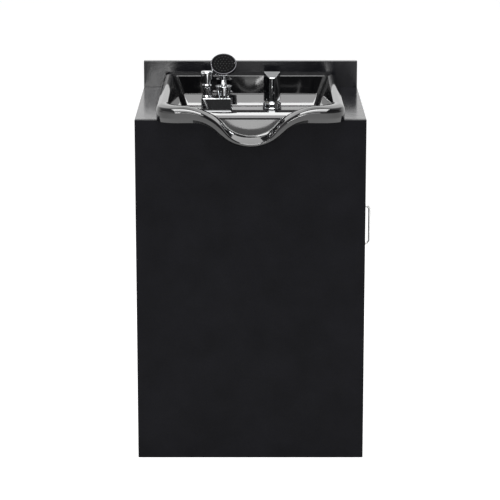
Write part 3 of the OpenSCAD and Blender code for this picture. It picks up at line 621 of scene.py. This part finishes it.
def bowl_column(j, sections, outer, steps):
    """One line over the bowl's skin, from the drain to the rim's lower edge."""
    zs = [z for z, _ in sections]
    plans = [plan[j] for _, plan in sections]
    share = front_share(j)

    def wall(z):
        x = np.interp(z, zs, [p[0] for p in plans])
        y = np.interp(z, zs, [p[1] for p in plans])
        return x, y

    top_z = meeting_height(wall) if share > 0 else float(RIM_H)
    top_z = top_z * share + RIM_H * (1 - share)
    ix, iy = wall(top_z)
    ox, oy = outer[j]
    if share == 1.0:    # the neck rest runs straight forward, the arms spread out
        spread = min(1.0, max(0.0, (abs(ix) - 70) / 70)) ** 1.5
        ox = ix + (ox - ix) * spread

    angle = math.atan2(plans[0][1] - DRAIN_Y, plans[0][0])
    line = [(r * math.cos(angle), DRAIN_Y + r * math.sin(angle), FLOOR_LOW)
            for r in (DRAIN_R, 34)]
    radii = [0, 20]
    heights = zs[:-1]
    if share > 0:
        heights = squeezed(heights, top_z, share)
    for z in heights:
        line.append((*wall(z), z))
        radii.append(0)
    radii[2], radii[3] = 16, 22

    for t in (0, 0.06, 0.12, 0.18, 0.24, 0.3, 0.37, 0.45, 0.53, 0.62):
        line.append(rim_point((ix, iy), (ox, oy), t, share))
        radii.append(0 if t else 8)
    z_out = rim_point((ix, iy), (ox, oy), 1, share)[2]
    low_z = apron(ox) * share if share > 0 else 0.0
    depth = z_out - low_z
    line.append((ox, oy, z_out))
    radii.append(min(22.0, 0.6 * depth))
    # The face bulges a little before it tucks back to its lower edge
    out = np.array([ox, oy]) - np.array([ix, iy])
    out = out / np.linalg.norm(out) * TUCK * share
    for back, height, r in ((0.25, 0.33, 9), (1, 0, 0)):
        line.append((ox - out[0] * back, oy - out[1] * back, low_z + depth * height))
        radii.append(r)
    return fillet(line, radii, steps)


def drill(obj, place, r):
    """Cuts a round hole down through the deck under a fitting."""
    bm = bmesh.new()
    bmesh.ops.create_cone(bm, cap_ends=True, segments=64, radius1=r * MM, radius2=r * MM,
                          depth=0.04)
    bmesh.ops.translate(bm, verts=bm.verts, vec=at(place[0], place[1], DECK - WALL / 2))
    mesh = bpy.data.meshes.new("cutter")
    bm.to_mesh(mesh)
    bm.free()
    cutter = linked("cutter", mesh)
    mod = obj.modifiers.new("hole", "BOOLEAN")
    mod.operation = "DIFFERENCE"
    mod.solver = "EXACT"
    mod.object = cutter
    bpy.context.view_layer.update()
    cut = bmesh.new()
    cut.from_object(obj, bpy.context.evaluated_depsgraph_get())
    obj.modifiers.clear()
    cut.to_mesh(obj.data)
    cut.free()
    bpy.data.objects.remove(cutter)
    bpy.data.meshes.remove(mesh)


def bowl():
    sections = inner_sections()
    outer = outline(219, 217, -50, 484, 50, 22)
    n = len(outer)
    columns = [bowl_column(j, sections, outer, 7) for j in range(n)]
    m = len(columns[0])
    verts = [at(*point) for column in columns for point in column]
    faces = []
    for j in range(n):
        a, b = j * m, ((j + 1) % n) * m
        for k in range(m - 1):
            faces.append((a + k, b + k, b + k + 1, a + k + 1))
    mesh = bpy.data.meshes.new("bowl_shell")
    verts, faces = thickened(verts, faces, WALL * MM)
    mesh.from_pydata(verts, [], faces)
    obj = linked("bowl_shell", mesh)
    for place, r in ((MIXER, 17.5), (BREAKER, 10), (GUIDE, 13.5)):
        drill(obj, place, r)
    finish_piece(obj, MAT["gloss_black_abs"], "cabinet", ("bowl",), 60)


# ---------------------------------------------------------------- fittings

def leant(x, y, z, tilt):
    """A point turned back about the X axis by so many degrees."""
    lean = math.radians(tilt)
    return x, y * math.cos(lean) - z * math.sin(lean), y * math.sin(lean) + z * math.cos(lean)


def spun(name, profile, radii, place, slot, node, tilt=0.0, segments=96, material=None,
         scallops=None):
    """A turned piece: a closed (radius, height) outline in mm, with rounded corners,
    spun about an upright axis that passes through place and may lean back."""
    pts = [np.array((r, 0.0, z)) for r, z in profile]
    pts.append(pts[0])
    line = fillet(pts, [0] + list(radii) + [0, 0], 5)[:-1]
    m = len(line)
    verts, faces = [], []
    for j in range(segments):
        a = 2 * math.pi * j / segments
        for p in line:
            r = p[0] if scallops is None else scallops(p[0], p[2], a)
            verts.append((r * math.cos(a), r * math.sin(a), p[2]))
    for j in range(segments):
        b = (j + 1) % segments
        for k in range(m):
            n = (k + 1) % m
            faces.append((j * m + k, b * m + k, b * m + n, j * m + n))
    moved = [at(*np.add(place, leant(*v, tilt))) for v in verts]
    make(name, moved, faces, material or MAT[slot], body_of(node), (node,))


def mixer():
    spun("mixer_ring", [(17.7, -41.5), (23.6, -41.5), (23.6, -38.5), (22.6, -37.2),
                        (22.6, -27.5), (20.6, -24.4), (17.7, -24.4), (17.7, -37.9)],
         [0.8, 0.8, 0.6, 2.0, 1.2, 0.6, 0.3], MIXER, CHROME, "mixer_base")
    lever()


def lever():
    """The lever: a wedge-shaped block whose top slopes forward and whose front is a
    blunt, faceted nose."""
    low, back, front = -21.0, 19.0, -21.0
    plan = [(-20.5, back), (-20.5, -4), (-7, front + 1.5), (0, front), (7, front + 1.5),
            (20.5, -4), (20.5, back)]
    bm = bmesh.new()
    slope = math.tan(math.radians(15))
    rise = math.tan(math.radians(32))

    def place(x, y, z):
        return bm.verts.new(at(MIXER[0] + x, MIXER[1] + y, z))

    top = [place(x * (0.62 if y == -4 else 1.0), y, 49 - (back - y) * slope)
           for x, y in plan]
    foot = [place(x, y, max(low, low + (y + 4) * rise)) for x, y in plan]
    n = len(plan)
    bm.faces.new(top[::-1])
    bm.faces.new([foot[1], foot[2], foot[3], foot[4], foot[5]])
    bm.faces.new([foot[0], foot[1], foot[5], foot[6]])
    for i in range(n):
        k = (i + 1) % n
        bm.faces.new((top[i], top[k], foot[k], foot[i]))
    bmesh.ops.recalc_face_normals(bm, faces=bm.faces)
    bmesh.ops.bevel(bm, geom=list(bm.edges), offset=0.9 * MM, segments=4, profile=0.5,
                    affect="EDGES", clamp_overlap=True)
    mesh = bpy.data.meshes.new("lever_block")
    bm.to_mesh(mesh)
    bm.free()
    obj = linked("lever_block", mesh)
    finish_piece(obj, MAT[CHROME], body_of("mixer_lever"), ("mixer_lever",), 30)


def breaker():
    top = -12.5
    spun("float_chamber", [(8, top), (13.4, top), (13.4, top + 3.4), (10, top + 6.5),
                           (10, 12.5), (12.8, 14.6), (12.8, 19.2), (10.5, 22), (10.5, 42),
                           (5, 42), (5, 38), (8, 38)],
         [1.0, 1.0, 1.5, 2.5, 0.9, 0.9, 2.0, 0.8, 0.4, 0.3, 0.3], BREAKER, CHROME,
         "breaker_bonnet")
    spun("breaker_dome", [(0.01, 44), (5, 44), (5, 41.4), (12.5, 41.4), (12.5, 34), (15, 34),
                          (15, 54), (0.01, 54.6)],
         [0.2, 0.2, 0.4, 0.5, 0.9, 4.5, 0.1], BREAKER, CHROME, "breaker_cap")

    def scallop(r, z, a):
        if z < -4 or r < 11:
            return r
        cut = max(0.0, math.cos(6 * a)) ** 3      # deep between six lobes
        return r - 5.0 * cut * min(1.0, (z + 4) / 6)

    spun("scalloped_nut", [(10, top), (15, top), (15, -6.5), (21.5, 17), (17, 17), (10, 9)],
         [0.8, 1.5, 1.2, 1.0, 1.5], GUIDE, CHROME, "hose_guide", segments=192,
         scallops=scallop)


def spray():
    spun("spray_stem", [(3.5, -10), (5, -10), (5, 14.2), (8.5, 14.2), (8.5, 20), (6.5, 32),
                        (6.5, 58), (3.5, 58)],
         [0.3, 0.5, 0.8, 2.5, 6.0, 0.5, 0.3], GUIDE, CHROME, "spray_neck")
    spun("spray_shell", [(3.5, -2.5), (11, -2.5), (22, 1), (29, 6), (31.5, 11), (31.5, 15),
                         (28.5, 15), (28.5, 9), (21.5, 9), (21.5, 3.5), (3.5, 3.5)],
         [4.0, 8.0, 6.0, 4.0, 0.5, 0.4, 0.3, 0.3, 0.3, 0.3], HEAD, CHROME, "spray_body", TILT)
    spun("spray_rim", [(29, 15), (32.5, 15), (32.5, 20), (30.2, 20), (29, 18.8)],
         [1.0, 1.6, 0.8, 0.4], HEAD, CHROME, "spray_ring", TILT, material=SMOKED_CHROME)
    spun("spray_plate", [(0.01, 10.5), (28.4, 10.5), (28.4, 15), (28.9, 15), (28.9, 18.9),
                         (27.5, 19.3), (0.01, 19.8)],
         [0.3, 0.1, 0.1, 0.6, 3.0, 0.1], HEAD, "rubber", "spray_face", TILT,
         material=SPRAY_PLATE)
    jets()


def jets():
    """Small nozzles in rings over the spray plate."""
    bm = bmesh.new()
    turn = Matrix.Rotation(math.radians(TILT), 3, "X")
    for ring, count in enumerate((1, 6, 12, 18)):
        for i in range(count):
            a = 2 * math.pi * i / count
            tip = leant(ring * 7.5 * math.cos(a), ring * 7.5 * math.sin(a), 19.9, TILT)
            new = bmesh.ops.create_cone(bm, cap_ends=True, segments=12, radius1=1.3 * MM,
                                        radius2=0.8 * MM, depth=1.4 * MM)["verts"]
            bmesh.ops.rotate(bm, verts=new, cent=(0, 0, 0), matrix=turn)
            bmesh.ops.translate(bm, verts=new, vec=at(*np.add(HEAD, tip)))
    mesh = bpy.data.meshes.new("spray_jets")
    bm.to_mesh(mesh)
    bm.free()
    obj = linked("spray_jets", mesh)
    finish_piece(obj, MAT["rubber"], body_of("spray_face"))


def handle():
    """The bow handle as one bar swept along its path."""
    half, out, bend, r = 48.0, 31 - 3.2, 9.0, 3.2
    path = fillet([(0, 0, -half), (out, 0, -half), (out, 0, half), (0, 0, half)],
                  [0, bend, bend, 0], 14)
    x0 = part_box("door_handle")[0].x
    y0 = FRONT_Y + 342 * MM
    z0 = 498 * MM
    verts, faces, ring = [], [], 32
    for i, p in enumerate(path):
        ahead = path[min(i + 1, len(path) - 1)] - path[max(i - 1, 0)]
        ahead = ahead / np.linalg.norm(ahead)
        side = np.cross(ahead, (0, 1, 0))
        for k in range(ring):
            a = 2 * math.pi * k / ring
            q = p + r * (math.cos(a) * side + math.sin(a) * np.array((0, 1, 0)))
            verts.append((x0 + q[0] * MM, y0 + q[1] * MM, z0 + q[2] * MM))
    for i in range(len(path) - 1):
        for k in range(ring):
            n = (k + 1) % ring
            faces.append((i * ring + k, i * ring + n, (i + 1) * ring + n, (i + 1) * ring + k))
    faces.append(tuple(range(ring))[::-1])
    last = (len(path) - 1) * ring
    faces.append(tuple(last + k for k in range(ring)))
    for s in (-1, 1):
        start = len(verts)
        for x, fr in ((0, 4.8), (1.6, 4.8), (2.2, 4.2), (2.2, 3.0)):
            for k in range(ring):
                a = 2 * math.pi * k / ring
                verts.append((x0 + x * MM, y0 + fr * math.cos(a) * MM,
                              z0 + (s * half + fr * math.sin(a)) * MM))
        for i in range(3):
            for k in range(ring):
                n = (k + 1) % ring
                faces.append((start + i * ring + k, start + i * ring + n,
                              start + (i + 1) * ring + n, start + (i + 1) * ring + k))
    make("bow_handle", verts, faces, HANDLE, body_of("door_handle"),
         ("door_handle",))


def drain():
    slot = slot_of("drain_flange")
    spun("drain_rim", [(19.4, -58), (22, -58), (22, 0), (32, 0), (32, 0.8), (28.5, 2.5),
                       (20.8, 2.5), (19.4, 1.4)],
         [0.4, 0.2, 0.1, 0.3, 2.0, 0.8, 0.6], (0, DRAIN_Y, FLOOR_LOW), slot,
         "drain_flange")


# ---------------------------------------------------------------- put together

camera()
world()
floor()
lights()
bpy.context.scene.view_settings.view_transform = "Standard"

bowl()
mixer()
breaker()
spray()
handle()
drain()
for node in ("front_panel", "left_panel", "right_stile", "back_panel", "bottom_panel",
             "side_door"):
    refined(node, 0.0006)
refined("countertop", 0.0006, COUNTER)
refined("backsplash", 0.0006, COUNTER)
SMALL = ("left_rail", "right_rail", "rear_rail", "corner_brackets", "magnet_catch",
         "strike_plate", "breaker_body", "mixer_stem", "slip_nut", "drain_nut", "mixer_nut",
         "breaker_nuts", "cartridge_cap", "hair_strainer", "tailpiece", "spray_tail",
         "mixed_outlet", "hot_inlet", "cold_inlet", "pivot_bushes", "handle_screws",
         "rail_screws", "counter_screws", "lever_screw")
for node in SMALL:
    refined(node, 0.0004)

for node, obj in NODES.items():
    obj.data.materials.clear()
    obj.data.materials.append(MAT[slot_of(node)])
